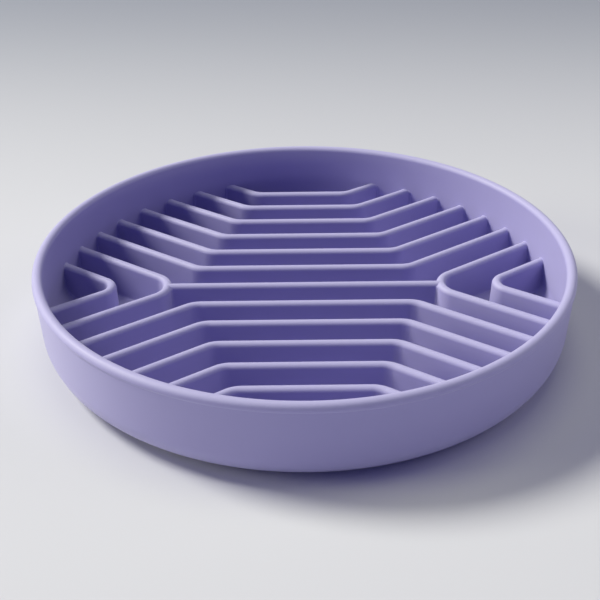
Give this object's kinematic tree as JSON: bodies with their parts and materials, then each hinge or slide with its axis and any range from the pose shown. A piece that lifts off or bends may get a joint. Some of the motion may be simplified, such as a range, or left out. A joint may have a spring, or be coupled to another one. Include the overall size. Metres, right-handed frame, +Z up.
{
  "type": "slow feeder bowl",
  "caption": "Low round pet bowl with a full-round lip and a maze of upright chevron ribs on its floor that makes an animal pick its food out slowly. It stands on soft foot pads.",
  "frame": {"origin": "On the surface that the bowl stands on, under the middle of the bowl.", "axes": "+Z is up along the bowl's axis. +X runs along the straight middles of the ribs, to the right in the picture. +Y points to the rear of the bowl, away from the camera."},
  "size_m": [0.22, 0.22, 0.036],
  "materials": {
    "moulding": "satin",
    "pad_rubber": "matte"
  },
  "bodies": {
    "root": {"dish": "moulding", "rear_rib_1": "moulding", "rear_rib_2": "moulding", "rear_rib_3": "moulding", "rear_rib_4": "moulding", "rear_rib_5": "moulding", "rear_rib_6": "moulding", "front_rib_1": "moulding", "front_rib_2": "moulding", "front_rib_3": "moulding", "front_rib_4": "moulding", "front_rib_5": "moulding", "front_rib_6": "moulding", "centre_bar": "moulding", "left_fork": "moulding", "right_fork": "moulding", "left_pocket_rib": "moulding", "right_pocket_rib": "moulding", "foot_pad_1": "pad_rubber", "foot_pad_2": "pad_rubber", "foot_pad_3": "pad_rubber", "foot_pad_4": "pad_rubber", "foot_pad_5": "pad_rubber", "foot_pad_6": "pad_rubber"}
  },
  "joints": []
}
